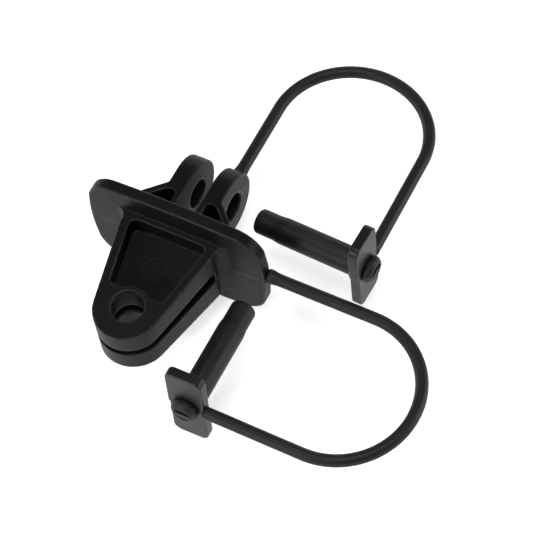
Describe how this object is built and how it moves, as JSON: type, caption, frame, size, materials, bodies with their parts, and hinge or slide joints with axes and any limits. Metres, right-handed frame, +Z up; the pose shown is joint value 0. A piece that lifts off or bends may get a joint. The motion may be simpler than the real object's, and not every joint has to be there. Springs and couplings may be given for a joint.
{
  "type": "clevis coupler with captive locking pins",
  "caption": "Moulded two-way clevis coupler: flat fork one way, crossed ears the other, each with a round locking pin kept by its own stiff U-shaped loop.",
  "frame": {"origin": "middle of the whole object's footprint, level with the lower edge of the flange", "axes": "+X from the flange's middle towards the side loop, along the holes through the two ears; +Y from the fork towards the ears; +Z up, along the hole through the fork"},
  "size_m": [0.1362, 0.1506, 0.0443],
  "materials": {
    "coupler_plastic": "satin black moulded plastic with a fine spark-eroded grain",
    "loop_plastic": "smooth satin black moulded plastic",
    "head_plastic": "satin black moulded plastic with a fine grain",
    "pin_plastic": "satin black moulded plastic, a little polished where it slides"
  },
  "bodies": {
    "coupler": {"coupler_half_upper": "coupler_plastic", "coupler_half_lower": "coupler_plastic"},
    "rear_bail": {"rear_loop": "loop_plastic"},
    "rear_head": {"rear_head_upper": "head_plastic", "rear_head_lower": "head_plastic"},
    "rear_pin": {"rear_pin_shank": "pin_plastic", "rear_pin_washer": "pin_plastic", "rear_pin_knob": "pin_plastic"},
    "side_bail": {"side_loop": "loop_plastic", "side_head_upper": "head_plastic", "side_head_lower": "head_plastic"},
    "side_pin": {"side_pin_shank": "pin_plastic", "side_pin_washer": "pin_plastic", "side_pin_knob": "pin_plastic"}
  },
  "joints": [
    {"name": "rear_loop_swing", "type": "hinge", "parent": "coupler", "child": "rear_bail", "pos_m": [-0.02857, 0.01519, 0.0225], "axis": [0, -1, 0], "range_deg": [0, 90]},
    {"name": "rear_pin_push", "type": "slide", "parent": "rear_bail", "child": "rear_head", "axis": [0.9992, -0.0389, 0], "range_m": [-0.0471, 0]},
    {"name": "rear_pin_turn", "type": "hinge", "parent": "rear_head", "child": "rear_pin", "pos_m": [0.02473, 0.00049, 0.0225], "axis": [0.9992, -0.0389, 0], "continuous": true},
    {"name": "side_loop_swing", "type": "hinge", "parent": "coupler", "child": "side_bail", "pos_m": [-0.00068, -0.01631, 0.0225], "axis": [-1, 0, 0], "range_deg": [0, 53]},
    {"name": "side_pin_turn", "type": "hinge", "parent": "side_bail", "child": "side_pin", "pos_m": [-0.00278, -0.06791, 0.0218], "axis": [0.013, -0.9987, 0.0489], "continuous": true}
  ]
}
